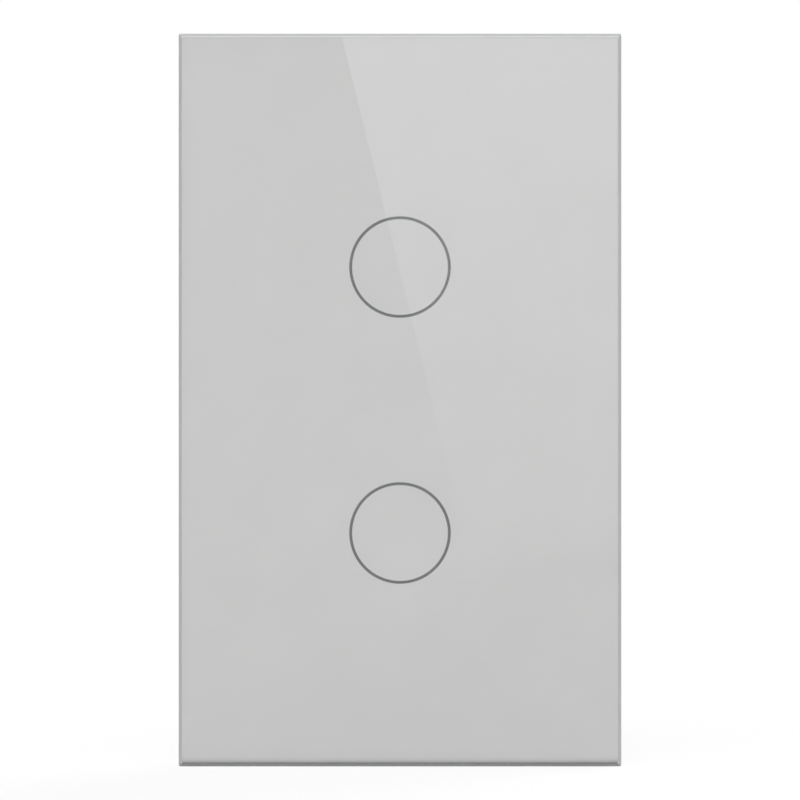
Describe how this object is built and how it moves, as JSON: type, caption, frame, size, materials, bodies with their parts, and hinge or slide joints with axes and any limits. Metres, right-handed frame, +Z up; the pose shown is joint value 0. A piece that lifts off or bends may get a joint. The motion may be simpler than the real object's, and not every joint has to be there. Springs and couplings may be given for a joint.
{
  "type": "smart light switch",
  "caption": "Flush wall switch with a flat glass touch panel, printed ring marks, a clip-on frame, a steel yoke and a rear housing with screw terminals.",
  "frame": {"origin": "midway between the two box screws, on the wall plane", "axes": "+X to the right seen from the front, +Y into the wall, +Z up; the glass faces -Y"},
  "size_m": [0.0724, 0.038, 0.12],
  "materials": {
    "clear_glass": "toughened, polished edges",
    "grey_print": "ceramic ink fired on the back of the glass",
    "ring_ink": "dark translucent ink",
    "foam_tape": "closed-cell acrylic foam",
    "frame_plastic": "moulded ABS, fine texture",
    "plated_steel": "zinc-plated sheet",
    "screw_steel": "zinc-plated, machined",
    "chassis_plastic": "moulded polycarbonate, fine texture",
    "housing_plastic": "moulded polycarbonate, spark-eroded texture",
    "board": "glass-epoxy laminate with solder mask",
    "board_black": "glass-epoxy laminate with black solder mask",
    "spring_steel": "nickel-plated spring wire",
    "diffuser": "milky polycarbonate",
    "led": "white package with yellow phosphor",
    "chip_black": "moulded epoxy",
    "shield_metal": "tinned steel",
    "header_black": "moulded nylon with gilt pins",
    "terminal_plastic": "moulded polyamide",
    "brass": "tinned brass",
    "clamp_metal": "zinc-plated, yellow passivated",
    "relay_case": "moulded, satin",
    "copper": "enamelled copper winding",
    "magnet_steel": "soft iron, nickel-plated",
    "fuse_body": "moulded",
    "varistor_coat": "epoxy-dipped ceramic disc",
    "film_case": "moulded box",
    "can_sleeve": "shrink sleeve over aluminium",
    "ferrite": "sintered ferrite",
    "winding_tape": "polyester tape over the winding"
  },
  "bodies": {
    "base": {"yoke": "plated_steel", "yoke_screws": "screw_steel", "chassis": "chassis_plastic", "rear_housing": "housing_plastic", "housing_screws": "screw_steel", "touch_board": "board", "touch_board_screws": "screw_steel", "power_board_screws": "screw_steel", "touch_spring_upper": "spring_steel", "touch_spring_lower": "spring_steel", "light_ring_upper": "diffuser", "light_ring_lower": "diffuser", "ring_leds": "led", "radio_board": "board_black", "radio_shield": "shield_metal", "touch_chip": "chip_black", "small_parts": "chip_black", "header_pins": "header_black", "header_socket": "header_black", "power_board": "board", "earth_strap": "brass", "fuse": "fuse_body", "varistor": "varistor_coat", "film_capacitor": "film_case", "bridge_rectifier": "chip_black", "power_chip": "chip_black", "mains_capacitor": "can_sleeve", "output_capacitor": "can_sleeve", "transformer_winding": "winding_tape", "transformer_core": "ferrite", "terminal_block": "terminal_plastic", "terminal_busbars": "brass", "relay_1_case": "relay_case", "relay_1_base": "chip_black", "relay_1_coil": "copper", "relay_1_magnet": "magnet_steel", "relay_1_contact": "brass", "relay_2_case": "relay_case", "relay_2_base": "chip_black", "relay_2_coil": "copper", "relay_2_magnet": "magnet_steel", "relay_2_contact": "brass"},
    "front_panel": {"glass_panel": "clear_glass", "back_print": "grey_print", "ring_print_upper": "ring_ink", "ring_print_lower": "ring_ink", "panel_adhesive": "foam_tape", "panel_frame": "frame_plastic"},
    "terminal_screw_1": {"terminal_screw_1": "screw_steel"},
    "terminal_clamp_1": {"terminal_clamp_1": "clamp_metal"},
    "terminal_screw_2": {"terminal_screw_2": "screw_steel"},
    "terminal_clamp_2": {"terminal_clamp_2": "clamp_metal"},
    "terminal_screw_3": {"terminal_screw_3": "screw_steel"},
    "terminal_clamp_3": {"terminal_clamp_3": "clamp_metal"},
    "terminal_screw_4": {"terminal_screw_4": "screw_steel"},
    "terminal_clamp_4": {"terminal_clamp_4": "clamp_metal"},
    "terminal_screw_5": {"terminal_screw_5": "screw_steel"},
    "terminal_clamp_5": {"terminal_clamp_5": "clamp_metal"},
    "relay_1_armature": {"relay_1_armature": "magnet_steel"},
    "relay_2_armature": {"relay_2_armature": "magnet_steel"}
  },
  "joints": [
    {"name": "panel_unclip", "type": "slide", "parent": "base", "child": "front_panel", "axis": [0, -1, 0], "range_m": [0, 0.03]},
    {"name": "terminal_screw_1_turn", "type": "hinge", "parent": "base", "child": "terminal_screw_1", "pos_m": [-0.01524, 0.019, -0.0292], "axis": [0, -1, 0], "range_deg": [0, 2160.5]},
    {"name": "terminal_clamp_1_rise", "type": "slide", "parent": "base", "child": "terminal_clamp_1", "axis": [0, 1, 0], "range_m": [0, 0.0036]},
    {"name": "terminal_screw_2_turn", "type": "hinge", "parent": "base", "child": "terminal_screw_2", "pos_m": [-0.00762, 0.019, -0.0292], "axis": [0, -1, 0], "range_deg": [0, 2160.5]},
    {"name": "terminal_clamp_2_rise", "type": "slide", "parent": "base", "child": "terminal_clamp_2", "axis": [0, 1, 0], "range_m": [0, 0.0036]},
    {"name": "terminal_screw_3_turn", "type": "hinge", "parent": "base", "child": "terminal_screw_3", "pos_m": [0, 0.019, -0.0292], "axis": [0, -1, 0], "range_deg": [0, 2160.5]},
    {"name": "terminal_clamp_3_rise", "type": "slide", "parent": "base", "child": "terminal_clamp_3", "axis": [0, 1, 0], "range_m": [0, 0.0036]},
    {"name": "terminal_screw_4_turn", "type": "hinge", "parent": "base", "child": "terminal_screw_4", "pos_m": [0.00762, 0.019, -0.0292], "axis": [0, -1, 0], "range_deg": [0, 2160.5]},
    {"name": "terminal_clamp_4_rise", "type": "slide", "parent": "base", "child": "terminal_clamp_4", "axis": [0, 1, 0], "range_m": [0, 0.0036]},
    {"name": "terminal_screw_5_turn", "type": "hinge", "parent": "base", "child": "terminal_screw_5", "pos_m": [0.01524, 0.019, -0.0292], "axis": [0, -1, 0], "range_deg": [0, 2160.5]},
    {"name": "terminal_clamp_5_rise", "type": "slide", "parent": "base", "child": "terminal_clamp_5", "axis": [0, 1, 0], "range_m": [0, 0.0036]},
    {"name": "relay_1_armature_tilt", "type": "hinge", "parent": "base", "child": "relay_1_armature", "pos_m": [-0.0076, 0.0185, -0.0092], "axis": [-1, 0, 0], "range_deg": [0, 3.3], "stiffness_Nm_per_rad": 0.02, "springref_deg": -5.73},
    {"name": "relay_2_armature_tilt", "type": "hinge", "parent": "base", "child": "relay_2_armature", "pos_m": [0.0076, 0.0185, -0.0092], "axis": [-1, 0, 0], "range_deg": [0, 3.3], "stiffness_Nm_per_rad": 0.02, "springref_deg": -5.73}
  ],
  "couplings": [
    {"joint": "terminal_screw_1_turn", "follows": "terminal_clamp_1_rise", "rad_per_m": 10472},
    {"joint": "terminal_screw_2_turn", "follows": "terminal_clamp_2_rise", "rad_per_m": 10472},
    {"joint": "terminal_screw_3_turn", "follows": "terminal_clamp_3_rise", "rad_per_m": 10472},
    {"joint": "terminal_screw_4_turn", "follows": "terminal_clamp_4_rise", "rad_per_m": 10472},
    {"joint": "terminal_screw_5_turn", "follows": "terminal_clamp_5_rise", "rad_per_m": 10472}
  ]
}
